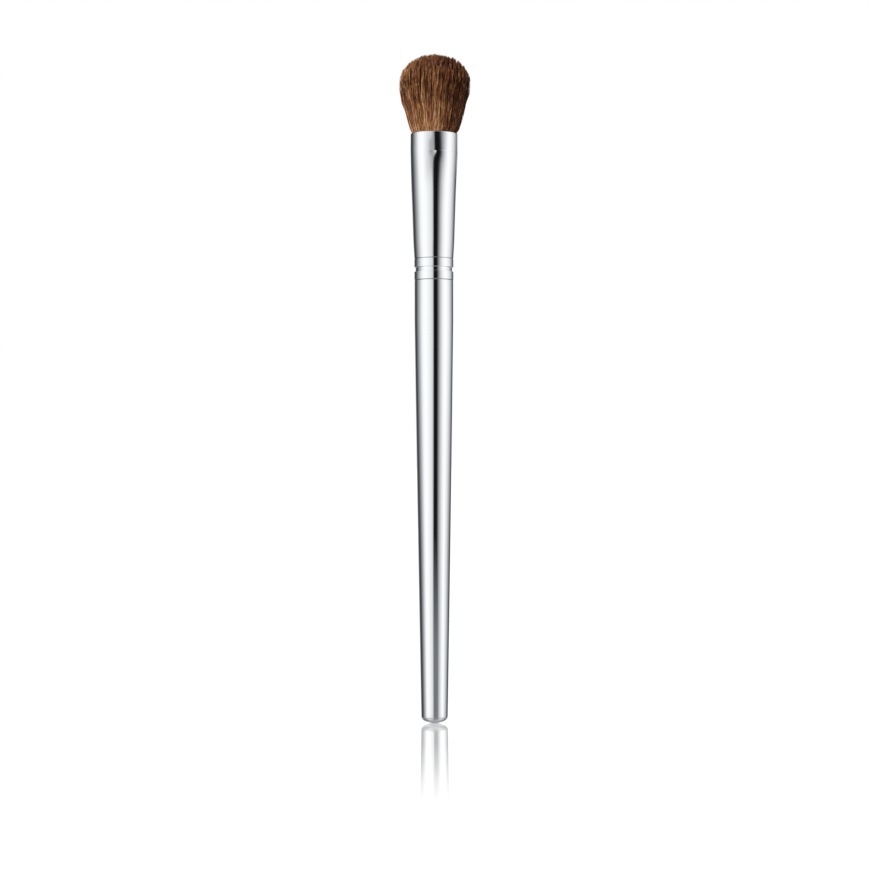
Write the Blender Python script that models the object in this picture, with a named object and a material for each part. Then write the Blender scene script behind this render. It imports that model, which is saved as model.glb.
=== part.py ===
# Eyeshadow brush: a domed hair tuft in a pressed metal ferrule on a slim, tapered metal handle.
# Metres, +Z up. The origin is the centre of the small flat land on the handle's butt.
# +X runs across the wide side of the tuft, and -Y is the side that faces a viewer in front.
import math
import random

import bmesh
import bpy
from mathutils import Vector
from mathutils.geometry import delaunay_2d_cdt

# Driving lengths along the axis, from the butt up
HANDLE_LENGTH = 0.10565
SEAM_GAP = 0.0003
FERRULE_LENGTH = 0.03485
TUFT_HEIGHT = 0.0192

# Driving radii and half widths
HANDLE_BUTT_RADIUS = 0.00311
HANDLE_TOP_RADIUS = 0.0046
COLLAR_RADIUS = 0.00465
MOUTH_HALF_WIDTH = 0.0056
MOUTH_HALF_DEPTH = 0.0042
TUFT_HALF_WIDTH = 0.00846
TUFT_HALF_DEPTH = 0.0065

# Clearance between pieces that are glued, pressed or crimped together
FIT_GAP = 0.0003

# How finely round pieces are divided
SHELL_SEGMENTS = 48
INNER_SEGMENTS = 32
SMOOTH_ANGLE = math.radians(28)

# Heights that several pieces share
FERRULE_FOOT = HANDLE_LENGTH + SEAM_GAP
MOUTH_HEIGHT = FERRULE_FOOT + FERRULE_LENGTH


def clear_scene():
    for obj in list(bpy.data.objects):
        bpy.data.objects.remove(obj, do_unlink=True)


def material(name, colour, roughness, metallic=0):
    made = bpy.data.materials.new(name)
    made.use_nodes = True
    shader = made.node_tree.nodes["Principled BSDF"]
    shader.inputs["Base Color"].default_value = (*colour, 1)
    shader.inputs["Roughness"].default_value = roughness
    shader.inputs["Metallic"].default_value = metallic
    return made


def add_object(name, data, finish):
    obj = bpy.data.objects.new(name, data)
    bpy.context.scene.collection.objects.link(obj)
    data.materials.append(finish)
    return obj


def add_mesh(name, bm, finish):
    """Makes an object of a closed bmesh, with its faces turned outwards and its round faces smooth."""
    bmesh.ops.recalc_face_normals(bm, faces=bm.faces)
    mesh = bpy.data.meshes.new(name)
    bm.to_mesh(mesh)
    bm.free()
    mesh.shade_smooth()
    mesh.set_sharp_from_angle(angle=SMOOTH_ANGLE)
    return add_object(name, mesh, finish)


def turned(profile, segments, closed=False):
    """A bmesh turned about Z from (radius, height) points. An open profile starts and ends on the axis."""
    bm = bmesh.new()
    points = [bm.verts.new((radius, 0, height)) for radius, height in profile]
    edges = [bm.edges.new(pair) for pair in zip(points, points[1:])]
    if closed:
        edges.append(bm.edges.new((points[-1], points[0])))
    bmesh.ops.spin(
        bm,
        geom=points + edges,
        cent=(0, 0, 0),
        axis=(0, 0, 1),
        angle=math.tau,
        steps=segments,
        use_merge=True,
    )
    # What the spin leaves doubled lies on the axis, so a small share of the radius welds it.
    weld_share = 1e-4
    widest = max(radius for radius, _ in profile)
    bmesh.ops.remove_doubles(bm, verts=bm.verts, dist=widest * weld_share)
    return bm


def arc(centre, radius, start, end, steps):
    """(radius, height) points on an arc, its angles in degrees up from the outward direction."""
    angles = [math.radians(start + (end - start) * i / steps) for i in range(steps + 1)]
    return [(centre[0] + radius * math.cos(a), centre[1] + radius * math.sin(a)) for a in angles]


def between(low, high, steps):
    """Evenly spaced values above low, up to and with high."""
    return [low + (high - low) * i / steps for i in range(1, steps + 1)]


def clamped(value):
    return min(1, max(0, value))


# Handle: one drawn and polished aluminium tube, with a shallow dome closing its butt
HANDLE_STRAIGHT = 0.0094
HANDLE_SWELL = 0.00005
HANDLE_WALL = 0.0006
HANDLE_EDGE_ROUND = 0.00008
BUTT_LAND_RADIUS = 0.0009
BUTT_RIM_RADIUS = 0.0008
BUTT_SLOPE_DEGREES = 20
BUTT_WALL = 0.0012
HANDLE_TAPER_STEPS = 8


def butt_rim_height():
    """Height at which the butt's rounded rim meets the wall."""
    slope = math.radians(BUTT_SLOPE_DEGREES)
    rim_start = HANDLE_BUTT_RADIUS - BUTT_RIM_RADIUS * (1 - math.sin(slope))
    return (rim_start - BUTT_LAND_RADIUS) * math.tan(slope) + BUTT_RIM_RADIUS * math.cos(slope)


def handle_radius(height):
    """Outer radius above the butt's rim: a long, very slightly swollen taper below a straight top."""
    foot = butt_rim_height()
    share = clamped((height - foot) / (HANDLE_LENGTH - HANDLE_STRAIGHT - foot))
    straight_line = HANDLE_BUTT_RADIUS + (HANDLE_TOP_RADIUS - HANDLE_BUTT_RADIUS) * share
    return straight_line + HANDLE_SWELL * 4 * share * (1 - share)


def build_handle(finish):
    foot = butt_rim_height()
    taper_top = HANDLE_LENGTH - HANDLE_STRAIGHT
    edge = min(HANDLE_EDGE_ROUND, HANDLE_WALL / 2)
    profile = [(0, 0), (BUTT_LAND_RADIUS, 0)]
    rim_centre = (HANDLE_BUTT_RADIUS - BUTT_RIM_RADIUS, foot)
    profile += arc(rim_centre, BUTT_RIM_RADIUS, BUTT_SLOPE_DEGREES - 90, 0, 5)
    profile += [(handle_radius(height), height) for height in between(foot, taper_top, HANDLE_TAPER_STEPS)]
    profile += arc((HANDLE_TOP_RADIUS - edge, HANDLE_LENGTH - edge), edge, 0, 90, 2)
    # The bore is straight at the joint, tapers with the wall, and is dished over the closed end
    bore_foot = BUTT_WALL + foot
    bore_middle = (bore_foot + taper_top) / 2
    for height in (HANDLE_LENGTH, taper_top, bore_middle, bore_foot):
        profile.append((handle_radius(height) - HANDLE_WALL, height))
    profile.append(((handle_radius(bore_foot) - HANDLE_WALL) / 2, BUTT_WALL + foot / 3))
    profile.append((0, BUTT_WALL))
    return add_mesh("handle_shell", turned(profile, SHELL_SEGMENTS), finish)


# Ferrule: a tapered metal tube, round where it is crimped to the handle and pressed oval at its mouth
COLLAR_LENGTH = 0.005
FERRULE_WALL = 0.00035
FOOT_EDGE_ROUND = 0.00008
LIP_ROUND = 0.00015
MOUTH_BAND = 0.0038
PRESS_LENGTH = 0.012
# The power of the pressed outline: 2 is an ellipse, and more has flatter faces.
PRESSED_POWER = 2.2
CRIMP_HEIGHT = 0.0024
CRIMP_WIDTH = 0.0013
CRIMP_DEPTH = 0.0004
CRIMP_FLOOR_SHARE = 0.5
LINE_WIDTH = 0.00026
LINE_DEPTH = 0.00008
PRESS_STEPS = 6
# Points nearer the axis than this share of the collar's radius move less when the tube is pressed
PRESS_CORE_SHARE = 0.5

LINE_HEIGHT = FERRULE_FOOT + COLLAR_LENGTH
BAND_HEIGHT = MOUTH_HEIGHT - MOUTH_BAND
PRESS_HEIGHT = BAND_HEIGHT - PRESS_LENGTH


def ferrule_sizes(height):
    """(half width, half depth, power) of the ferrule's outline at a height, without its grooves."""
    taper = clamped((height - LINE_HEIGHT) / (BAND_HEIGHT - LINE_HEIGHT))
    pressed = clamped((height - PRESS_HEIGHT) / PRESS_LENGTH)
    pressed = pressed * pressed * (3 - 2 * pressed)
    half_width = COLLAR_RADIUS + (MOUTH_HALF_WIDTH - COLLAR_RADIUS) * taper
    half_depth = half_width + (MOUTH_HALF_DEPTH - MOUTH_HALF_WIDTH) * pressed
    return half_width, half_depth, 2 + (PRESSED_POWER - 2) * pressed


def ferrule_radius(angle, height):
    """Distance from the axis to the ferrule's outside, at an angle about the axis."""
    half_width, half_depth, power = ferrule_sizes(height)
    across = abs(math.cos(angle) / half_width) ** power
    deep = abs(math.sin(angle) / half_depth) ** power
    return (across + deep) ** (-1 / power)


def bore_sizes(height, inset):
    """(half width, half depth) of an ellipse that far inside the ferrule's bore."""
    half_width, half_depth, _ = ferrule_sizes(height)
    return half_width - FERRULE_WALL - inset, half_depth - FERRULE_WALL - inset


def press(bm):
    """Turns a tube made at the collar's radius into the ferrule's taper and oval, its wall as thick."""
    for vert in bm.verts:
        angle = math.atan2(vert.co.y, vert.co.x)
        radius = math.hypot(vert.co.x, vert.co.y)
        share = min(1, radius / (COLLAR_RADIUS * PRESS_CORE_SHARE))
        radius += (ferrule_radius(angle, vert.co.z) - COLLAR_RADIUS) * share
        vert.co.x = radius * math.cos(angle)
        vert.co.y = radius * math.sin(angle)


def crimp_points(radius, half_width):
    """The rolled groove that crimps the joint, going up a wall of that radius."""
    middle = FERRULE_FOOT + CRIMP_HEIGHT
    floor = half_width * CRIMP_FLOOR_SHARE
    return [
        (radius, middle - half_width),
        (radius - CRIMP_DEPTH, middle - floor),
        (radius - CRIMP_DEPTH, middle + floor),
        (radius, middle + half_width),
    ]


def build_ferrule(finish):
    foot_edge = min(FOOT_EDGE_ROUND, FERRULE_WALL / 2)
    lip = min(LIP_ROUND, FERRULE_WALL / 2)
    inside = COLLAR_RADIUS - FERRULE_WALL
    # Outside, from the foot up: rounded edge, crimp groove, fine line, taper, pressed band, round lip
    profile = arc((COLLAR_RADIUS - foot_edge, FERRULE_FOOT + foot_edge), foot_edge, -90, 0, 2)
    profile += crimp_points(COLLAR_RADIUS, CRIMP_WIDTH / 2)
    profile.append((COLLAR_RADIUS, LINE_HEIGHT - LINE_WIDTH / 2))
    profile.append((COLLAR_RADIUS - LINE_DEPTH, LINE_HEIGHT))
    profile.append((COLLAR_RADIUS, LINE_HEIGHT + LINE_WIDTH / 2))
    profile.append((COLLAR_RADIUS, PRESS_HEIGHT))
    profile += [(COLLAR_RADIUS, height) for height in between(PRESS_HEIGHT, BAND_HEIGHT, PRESS_STEPS)]
    profile += arc((COLLAR_RADIUS - lip, MOUTH_HEIGHT - lip), lip, 0, 90, 3)
    profile += arc((inside + lip, MOUTH_HEIGHT - lip), lip, 90, 180, 2)
    # Inside, from the mouth down
    for height in reversed(between(PRESS_HEIGHT, BAND_HEIGHT, PRESS_STEPS)):
        profile.append((inside, height))
    profile += [(inside, PRESS_HEIGHT), (inside, LINE_HEIGHT)]
    profile += reversed(crimp_points(inside, CRIMP_WIDTH / 2))
    profile.append((inside, FERRULE_FOOT))
    bm = turned(profile, SHELL_SEGMENTS, closed=True)
    press(bm)
    return add_mesh("ferrule", bm, finish)


# Joint plug: a moulded peg with crush ribs in the handle's bore, and a groove that the ferrule is rolled into
PLUG_IN_HANDLE = 0.009
PLUG_IN_FERRULE = 0.0075
PLUG_CHAMFER = 0.0005
PLUG_CORE_RADIUS = 0.0021
PLUG_END_WALL = 0.0045
RIB_COUNT = 3
RIB_WIDTH = 0.0009
RIB_RISE = 0.0002


def build_plug(finish):
    rib_radius = HANDLE_TOP_RADIUS - HANDLE_WALL - FIT_GAP
    peg_radius = rib_radius - RIB_RISE
    neck_radius = COLLAR_RADIUS - FERRULE_WALL - FIT_GAP
    foot = HANDLE_LENGTH - PLUG_IN_HANDLE
    top = FERRULE_FOOT + PLUG_IN_FERRULE
    core_top = top - PLUG_END_WALL
    # The moulding is cored out from below
    profile = [(0, core_top), (PLUG_CORE_RADIUS - PLUG_CHAMFER, core_top)]
    profile += [(PLUG_CORE_RADIUS, core_top - PLUG_CHAMFER), (PLUG_CORE_RADIUS, foot)]
    profile += [(peg_radius - PLUG_CHAMFER, foot), (peg_radius, foot + PLUG_CHAMFER)]
    rib_pitch = (PLUG_IN_HANDLE - PLUG_CHAMFER) / RIB_COUNT
    for i in range(RIB_COUNT):
        rib_foot = foot + PLUG_CHAMFER + rib_pitch * i + (rib_pitch - RIB_WIDTH) / 2
        profile.append((peg_radius, rib_foot))
        profile.append((rib_radius, rib_foot + RIB_WIDTH))
        profile.append((peg_radius, rib_foot + RIB_WIDTH))
    profile += [(peg_radius, HANDLE_LENGTH), (neck_radius, FERRULE_FOOT)]
    profile += crimp_points(neck_radius, CRIMP_WIDTH / 2 + FIT_GAP)
    profile += [(neck_radius, top - PLUG_CHAMFER), (neck_radius - PLUG_CHAMFER, top), (0, top)]
    return add_mesh("joint_plug", turned(profile, INNER_SEGMENTS), finish)


# Cast pieces inside the ferrule: glue and resin, each with one face dished as the liquid set
ADHESIVE_THICKNESS = 0.001
ADHESIVE_DISH = 0.0003
RESIN_LENGTH = 0.0068
RESIN_DISH = 0.0007


def cast_plug(name, bottom, top, bottom_dish, top_dish, finish):
    """A cast piece that fills the ferrule's bore between two heights."""
    rim = COLLAR_RADIUS - FERRULE_WALL - FIT_GAP
    # Halfway to the axis a dished face has sunk by this share of its depth
    dish_share = 0.75
    profile = [(0, bottom + bottom_dish), (rim / 2, bottom + bottom_dish * dish_share), (rim, bottom)]
    profile += [(rim, height) for height in between(bottom, top, 2)]
    profile += [(rim / 2, top - top_dish * dish_share), (0, top - top_dish)]
    bm = turned(profile, INNER_SEGMENTS)
    press(bm)
    return add_mesh(name, bm, finish)


def build_adhesive(finish):
    """The glue lies on the end of the peg."""
    bottom = FERRULE_FOOT + PLUG_IN_FERRULE + FIT_GAP
    return cast_plug("joint_adhesive", bottom, bottom + ADHESIVE_THICKNESS, 0, ADHESIVE_DISH, finish)


# Tuft root: the hair roots are tied into one oval block, waisted where the thread is wound on
ROOT_DEPTH = 0.0052
ROOT_FLANGE = 0.0005
THREAD_RADIUS = 0.0002
THREAD_PITCH = 0.00085
THREAD_TURNS = 3
THREAD_POINTS = 24

ROOT_TOP = MOUTH_HEIGHT - ROOT_DEPTH
WAIST_LENGTH = THREAD_TURNS * THREAD_PITCH + 2 * (THREAD_RADIUS + FIT_GAP)
ROOT_BOTTOM = ROOT_TOP - WAIST_LENGTH - 2 * ROOT_FLANGE


def build_resin(finish):
    """The resin plug is poured behind the tied root, and its lower face is dished."""
    top = ROOT_BOTTOM - FIT_GAP
    return cast_plug("root_resin", top - RESIN_LENGTH, top, RESIN_DISH, 0, finish)


def build_thread(finish):
    """The binding thread: one unbroken tube wound round the root's waist."""
    start = ROOT_BOTTOM + ROOT_FLANGE + FIT_GAP + THREAD_RADIUS
    points = []
    for i in range(THREAD_TURNS * THREAD_POINTS + 1):
        turn = i / THREAD_POINTS
        height = start + turn * THREAD_PITCH
        half_width, half_depth = bore_sizes(height, FIT_GAP + THREAD_RADIUS)
        angle = turn * math.tau
        points.append(Vector((half_width * math.cos(angle), half_depth * math.sin(angle), height)))
    half_turn = THREAD_POINTS // 2
    apart = min((a - b).length for i, a in enumerate(points) for b in points[i + half_turn:])
    print("binding thread, least gap to itself:", apart - 2 * THREAD_RADIUS, "m")
    curve = bpy.data.curves.new("root_binding", "CURVE")
    curve.dimensions = "3D"
    curve.bevel_depth = THREAD_RADIUS
    curve.bevel_resolution = 1
    curve.use_fill_caps = True
    spline = curve.splines.new("POLY")
    spline.points.add(len(points) - 1)
    for place, point in zip(spline.points, points):
        place.co = (*point, 1)
    return add_object("root_binding", curve, finish)


# Tuft: strands rise from the root block, fan out above the mouth and end on a dome
TUFT_DOME_HEIGHT = 0.0077
# The fan opens fast above the mouth and ends upright. The dome is a little fuller than an ellipse.
FAN_POWER = 1.5
DOME_POWER = 2.15
TIP_SCATTER = 0.0006
# A strand's tip leans by up to this share of the way to a corner of its cell
TIP_LEAN_SHARE = 0.6
INNER_POINTS = 134
RIM_POINTS = 40
INNER_REACH_SHARE = 0.9
GOLDEN_ANGLE = math.pi * (3 - math.sqrt(5))
HAIR_SEED = 7
# Where a strand's rings lie above the mouth and what each fills of its cell, as shares
ROOT_FILL_SHARE = 0.74
STRAND_SHARES = ((0, 0.8), (0.42, 0.74), (0.84, 0.62))


def fan_sizes(height):
    """(half width, half depth) of the hair at a height, before the dome is cut."""
    half_width, half_depth = bore_sizes(min(height, MOUTH_HEIGHT), FIT_GAP)
    opened = clamped((height - MOUTH_HEIGHT) / (TUFT_HEIGHT - TUFT_DOME_HEIGHT))
    opened = 1 - (1 - opened) ** FAN_POWER
    return (
        half_width + (TUFT_HALF_WIDTH - half_width) * opened,
        half_depth + (TUFT_HALF_DEPTH - half_depth) * opened,
    )


def to_disc(place):
    """Where a point of the tuft lies on the unit disc that the fan opens out from."""
    half_width, half_depth = fan_sizes(place.z)
    return Vector((place.x / half_width, place.y / half_depth))


def from_disc(place, height):
    half_width, half_depth = fan_sizes(height)
    return Vector((place.x * half_width, place.y * half_depth, height))


def dome_height(reach):
    """Height of the dome at a share of the disc's radius."""
    cut = (1 - min(1, reach) ** DOME_POWER) ** (1 / DOME_POWER)
    return MOUTH_HEIGHT + TUFT_HEIGHT - TUFT_DOME_HEIGHT * (1 - cut)


def hair_cells():
    """Points on the unit disc and the triangles between them, one for each strand."""
    places = []
    for i in range(RIM_POINTS):
        angle = math.tau * i / RIM_POINTS
        places.append(Vector((math.cos(angle), math.sin(angle))))
    for i in range(INNER_POINTS):
        reach = INNER_REACH_SHARE * math.sqrt((i + 0.5) / INNER_POINTS)
        angle = i * GOLDEN_ANGLE
        places.append(Vector((reach * math.cos(angle), reach * math.sin(angle))))
    merge_share = 1e-6
    points, _, cells, *_ = delaunay_2d_cdt(places, [], [], 0, merge_share)
    return points, cells


def build_root_block(bm):
    """Adds the tied root to the bmesh, open at its top, which is left as one face for each strand."""
    points, cells = hair_cells()
    verts = [bm.verts.new(from_disc(point, ROOT_TOP)) for point in points]
    tops = [bm.faces.new([verts[i] for i in cell]) for cell in cells]
    waist = FIT_GAP + 2 * (THREAD_RADIUS + FIT_GAP)
    levels = (
        (ROOT_TOP - ROOT_FLANGE, FIT_GAP),
        (ROOT_TOP - ROOT_FLANGE, waist),
        (ROOT_BOTTOM + ROOT_FLANGE, waist),
        (ROOT_BOTTOM + ROOT_FLANGE, FIT_GAP),
        (ROOT_BOTTOM, FIT_GAP),
    )
    edges = [edge for edge in bm.edges if edge.is_boundary]
    before = bore_sizes(ROOT_TOP, FIT_GAP)
    for height, inset in levels:
        grown = bmesh.ops.extrude_edge_only(bm, edges=edges)["geom"]
        edges = [item for item in grown if isinstance(item, bmesh.types.BMEdge) and item.is_boundary]
        after = bore_sizes(height, inset)
        for vert in {vert for edge in edges for vert in edge.verts}:
            vert.co = (vert.co.x * after[0] / before[0], vert.co.y * after[1] / before[1], height)
        before = after
    bmesh.ops.edgeloop_fill(bm, edges=edges)
    return tops


def move_ring(face, height, narrowing):
    """Takes a strand's end face along the fan to a height, and narrows it about its middle."""
    places = [to_disc(vert.co) for vert in face.verts]
    middle = sum(places, Vector((0, 0))) / len(places)
    for vert, place in zip(face.verts, places):
        vert.co = from_disc(middle + (place - middle) * narrowing, height)


def build_tuft(finish):
    chance = random.Random(HAIR_SEED)
    bm = bmesh.new()
    tip_height = bm.faces.layers.float.new("tip_height")
    strands = build_root_block(bm)
    for face in strands:
        reach = to_disc(face.calc_center_median()).length
        face[tip_height] = dome_height(reach) - TIP_SCATTER * chance.random()
    strands = bmesh.ops.extrude_discrete_faces(bm, faces=strands)["faces"]
    for face in strands:
        move_ring(face, ROOT_TOP, ROOT_FILL_SHARE)
    filled = ROOT_FILL_SHARE
    for rise, fill in STRAND_SHARES:
        strands = bmesh.ops.extrude_discrete_faces(bm, faces=strands)["faces"]
        for face in strands:
            height = MOUTH_HEIGHT + (face[tip_height] - MOUTH_HEIGHT) * rise
            move_ring(face, height, fill / filled)
        filled = fill
    # Each strand's last ring closes on one point, its tip
    for face in strands:
        height = face[tip_height]
        corner = to_disc(face.verts[0].co)
        middle = to_disc(face.calc_center_median())
        lean = TIP_LEAN_SHARE * chance.random()
        tip = bmesh.ops.poke(bm, faces=[face])["verts"][0]
        tip.co = from_disc(middle + (corner - middle) * lean, height)
    return add_mesh("bristle_tuft", bm, finish)


def polished_aluminium():
    return material("polished_aluminium", (0.86, 0.87, 0.88), roughness=0.08, metallic=1)


def brown_hair():
    return material("brown_hair", (0.24, 0.11, 0.05), roughness=0.5)


def moulded_nylon():
    return material("moulded_nylon", (0.75, 0.74, 0.7), roughness=0.45)


def clear_adhesive():
    return material("clear_adhesive", (0.72, 0.66, 0.5), roughness=0.15)


def epoxy_resin():
    return material("epoxy_resin", (0.62, 0.45, 0.22), roughness=0.2)


def waxed_thread():
    return material("waxed_thread", (0.8, 0.77, 0.7), roughness=0.7)


def main():
    clear_scene()
    metal = polished_aluminium()
    build_handle(metal)
    build_plug(moulded_nylon())
    build_adhesive(clear_adhesive())
    build_ferrule(metal)
    build_resin(epoxy_resin())
    build_thread(waxed_thread())
    build_tuft(brown_hair())


main()
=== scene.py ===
import math

import bpy
import numpy as np
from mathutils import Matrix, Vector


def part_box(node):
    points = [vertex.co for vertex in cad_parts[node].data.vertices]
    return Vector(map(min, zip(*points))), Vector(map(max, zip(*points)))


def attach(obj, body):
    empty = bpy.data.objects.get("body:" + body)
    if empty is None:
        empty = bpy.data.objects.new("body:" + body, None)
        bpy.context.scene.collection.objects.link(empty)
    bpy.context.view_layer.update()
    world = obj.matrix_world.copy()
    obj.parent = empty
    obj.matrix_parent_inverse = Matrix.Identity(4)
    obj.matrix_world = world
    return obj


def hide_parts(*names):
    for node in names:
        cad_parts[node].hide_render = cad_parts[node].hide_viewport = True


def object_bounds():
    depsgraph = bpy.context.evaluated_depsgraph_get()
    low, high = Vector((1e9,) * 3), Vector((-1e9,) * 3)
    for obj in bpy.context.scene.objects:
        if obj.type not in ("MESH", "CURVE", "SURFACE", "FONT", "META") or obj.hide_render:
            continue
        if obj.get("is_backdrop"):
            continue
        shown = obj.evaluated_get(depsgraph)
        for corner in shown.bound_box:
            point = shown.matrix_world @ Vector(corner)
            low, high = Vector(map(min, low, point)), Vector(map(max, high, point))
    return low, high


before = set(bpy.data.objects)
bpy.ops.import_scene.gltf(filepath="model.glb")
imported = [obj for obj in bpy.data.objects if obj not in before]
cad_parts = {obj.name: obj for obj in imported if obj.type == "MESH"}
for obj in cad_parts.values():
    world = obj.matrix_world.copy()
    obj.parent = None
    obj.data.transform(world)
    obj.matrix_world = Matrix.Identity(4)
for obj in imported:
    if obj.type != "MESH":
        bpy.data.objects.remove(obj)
cad_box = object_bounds()

# Tuft of hair
# The real one is a few thousand fine, soft natural hairs, dyed brown with golden and grey ones among
# them. They are cupped to a dome, laid tips up in a mould, and tied and glued at their roots.
MM = 0.001
HAIR_SEED = 11
# The depth of the pressed mouth, as a share of its width
PRESSED_DEPTH_SHARE = 0.74

ferrule_low, ferrule_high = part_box("ferrule")
tuft_low, tuft_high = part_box("bristle_tuft")
MOUTH_HEIGHT = ferrule_high.z + 0.2 * MM
MOUTH_HALF_WIDTH = (ferrule_high.x - ferrule_low.x) / 2 + 0.07 * MM
MOUTH_HALF_DEPTH = MOUTH_HALF_WIDTH * PRESSED_DEPTH_SHARE
FERRULE_WALL = 0.35 * MM
TUFT_HALF_WIDTH = (tuft_high.x - tuft_low.x) / 2 + 0.32 * MM
TUFT_HALF_DEPTH = (tuft_high.y - tuft_low.y) / 2 + 0.1 * MM
TUFT_TOP = tuft_high.z
DOME_DEPTH = 7.7 * MM
DOME_POWER = 2.25
HAIR_FOOT = tuft_low.z + 4.3 * MM


def deselect_all():
    if bpy.context.mode != "OBJECT":
        bpy.ops.object.mode_set(mode="OBJECT")
    bpy.ops.object.select_all(action="DESELECT")


def colour(hex_code):
    """A linear colour, with alpha, of an sRGB hex code."""
    shares = [int(hex_code[i : i + 2], 16) / 255 for i in (1, 3, 5)]
    linear = [s / 12.92 if s <= 0.04045 else ((s + 0.055) / 1.055) ** 2.4 for s in shares]
    return (*linear, 1)


def add_node(tree, kind, values=None, links=None, **settings):
    """Adds a node with its settings, the values of its inputs, and what is linked to its inputs."""
    made = tree.nodes.new(kind)
    for name, value in settings.items():
        setattr(made, name, value)
    for socket, value in (values or {}).items():
        made.inputs[socket].default_value = value
    for socket, source in (links or {}).items():
        tree.links.new(source, made.inputs[socket])
    return made


def set_stops(ramp_node, stops):
    """Puts (position, colour) stops on a colour ramp."""
    elements = ramp_node.color_ramp.elements
    while len(elements) > 1:
        elements.remove(elements[-1])
    elements[0].position, elements[0].color = stops[0]
    for position, stop_colour in stops[1:]:
        elements.new(position).color = stop_colour


def new_material(name):
    """An empty node material with its output, and its tree."""
    made = bpy.data.materials.new(name)
    made.use_nodes = True
    made.node_tree.nodes.clear()
    return made, made.node_tree


def finish_material(tree, shader):
    add_node(tree, "ShaderNodeOutputMaterial", links={"Surface": shader.outputs[0]})


# Soft natural hair: each hair is a little glossy along its length, and its colour runs in fine streaks
# from near black through red brown to gold, partly its own mixed colour and partly painted highlight. It
# is lighter near the ferrule and darker up the dome, partly its own colour and partly painted shade, and
# painted light makes the very tips lighter.
hair_material, tree = new_material("dyed_natural_hair")
shade = add_node(tree, "ShaderNodeAttribute", attribute_name="hair_shade")
grey = add_node(tree, "ShaderNodeAttribute", attribute_name="hair_grey")
along = add_node(tree, "ShaderNodeAttribute", attribute_name="hair_along")
place = add_node(tree, "ShaderNodeAttribute", attribute_name="hair_place")
streaks = add_node(
    tree,
    "ShaderNodeTexNoise",
    values={"Scale": 1.0, "Detail": 2.0, "Roughness": 0.6},
    links={"Vector": place.outputs["Vector"]},
)
# Fine streaks of lighter and darker tone: partly the hair's own colour, partly painted highlight
streak_share = add_node(
    tree,
    "ShaderNodeMapRange",
    values={"From Min": 0.3, "From Max": 0.7, "To Min": -0.34, "To Max": 0.38},
    links={"Value": streaks.outputs["Fac"]},
)
# Lighter near the ferrule and darker up the dome, partly own colour and partly painted shade; the tips
# are lighter as painted light
along_share = add_node(tree, "ShaderNodeFloatCurve", links={"Value": along.outputs["Fac"]})
curve = along_share.mapping.curves[0]
curve.points[0].location = (0.0, 0.66)
curve.points[1].location = (1.0, 0.75)
for along_place, along_level in ((0.3, 0.62), (0.55, 0.57), (0.75, 0.49), (0.95, 0.44)):
    curve.points.new(along_place, along_level)
along_share.mapping.update()
tone = add_node(
    tree,
    "ShaderNodeMath",
    links={0: shade.outputs["Fac"], 1: streak_share.outputs["Result"]},
    operation="ADD",
)
tone = add_node(
    tree,
    "ShaderNodeMath",
    links={0: tone.outputs[0], 1: along_share.outputs["Value"]},
    operation="ADD",
)
tone = add_node(tree, "ShaderNodeMath", values={1: 0.5}, links={0: tone.outputs[0]}, operation="SUBTRACT")
brown = add_node(tree, "ShaderNodeValToRGB", links={"Fac": tone.outputs[0]})
set_stops(
    brown,
    [
        (0.0, colour("#2e170f")),
        (0.2, colour("#643622")),
        (0.4, colour("#8f5636")),
        (0.6, colour("#b87e50")),
        (0.8, colour("#dba572")),
        (1.0, colour("#f3d0a6")),
    ],
)
hair_colour = add_node(
    tree,
    "ShaderNodeMix",
    values={7: colour("#9a8570")},
    links={0: grey.outputs["Fac"], 6: brown.outputs["Color"]},
    data_type="RGBA",
)
hair_shader = add_node(
    tree,
    "ShaderNodeBsdfPrincipled",
    values={"Roughness": 0.5, "Specular IOR Level": 0.2},
    links={"Base Color": hair_colour.outputs[2]},
)
finish_material(tree, hair_shader)

# Hairs lie in bundles of a few that share one tone and show as one streak, partly their own colour and
# partly painted highlight, and bundles lean together in locks whose tips make the fine teeth of the
# outline.
# Each hair is drawn about half as thick again as a real one, so that it shows.
LOCK_COUNT = 280
HAIRS_IN_BUNDLE = 5
HAIR_RADIUS = 0.045 * MM
TIP_RADIUS = 0.02 * MM
# How much shorter the hairs are at the edge of their lock, and how far they close up to its middle
LOCK_DROOP = 0.42 * MM
LOCK_GATHER = 0.4
# How much the lengths of hairs vary and how far they curl, in millimetres
TIP_SCATTER = 0.14
CURL = 0.045
# The colour's streaks in a hair
STREAK_LENGTH = 1.7 * MM
STREAK_WIDTH = 0.22 * MM
# The tuft leans a little to the right as it leaves the ferrule, and bows to the left near its top
TUFT_LEAN = 0.12 * MM
LIP_LEAN = 0.1 * MM
ROOT_LEAN = 0.12 * MM
BOW = 0.2 * MM
BOW_PLACE = 0.72
BOW_REACH = 0.15
# The share of a hair's free length that its part below the mouth counts as
BELOW_MOUTH = 0.3
LIP_SWELL = 0.1
draw = np.random.RandomState(HAIR_SEED)


def sunflower(count, power=0.5):
    """Evenly spread points of a unit disc."""
    turns = np.arange(count) * math.pi * (3 - math.sqrt(5))
    reach = ((np.arange(count) + 0.5) / count) ** power
    return np.stack([reach * np.cos(turns), reach * np.sin(turns)], axis=1)


def opened(share):
    """How far the hair has fanned out at a share of its length: it swells over the lip, then runs on."""
    lip_swell = 1 - np.exp(-share / 0.04)
    fan = 0.95 * share + 0.05 * (1 - (1 - share) ** 2)
    return LIP_SWELL * lip_swell + (1 - LIP_SWELL) * fan


def dome_height(reach):
    reach = np.clip(reach, 0, 1)
    return TUFT_TOP - DOME_DEPTH * (1 - (1 - reach**DOME_POWER) ** (1 / DOME_POWER))


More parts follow.
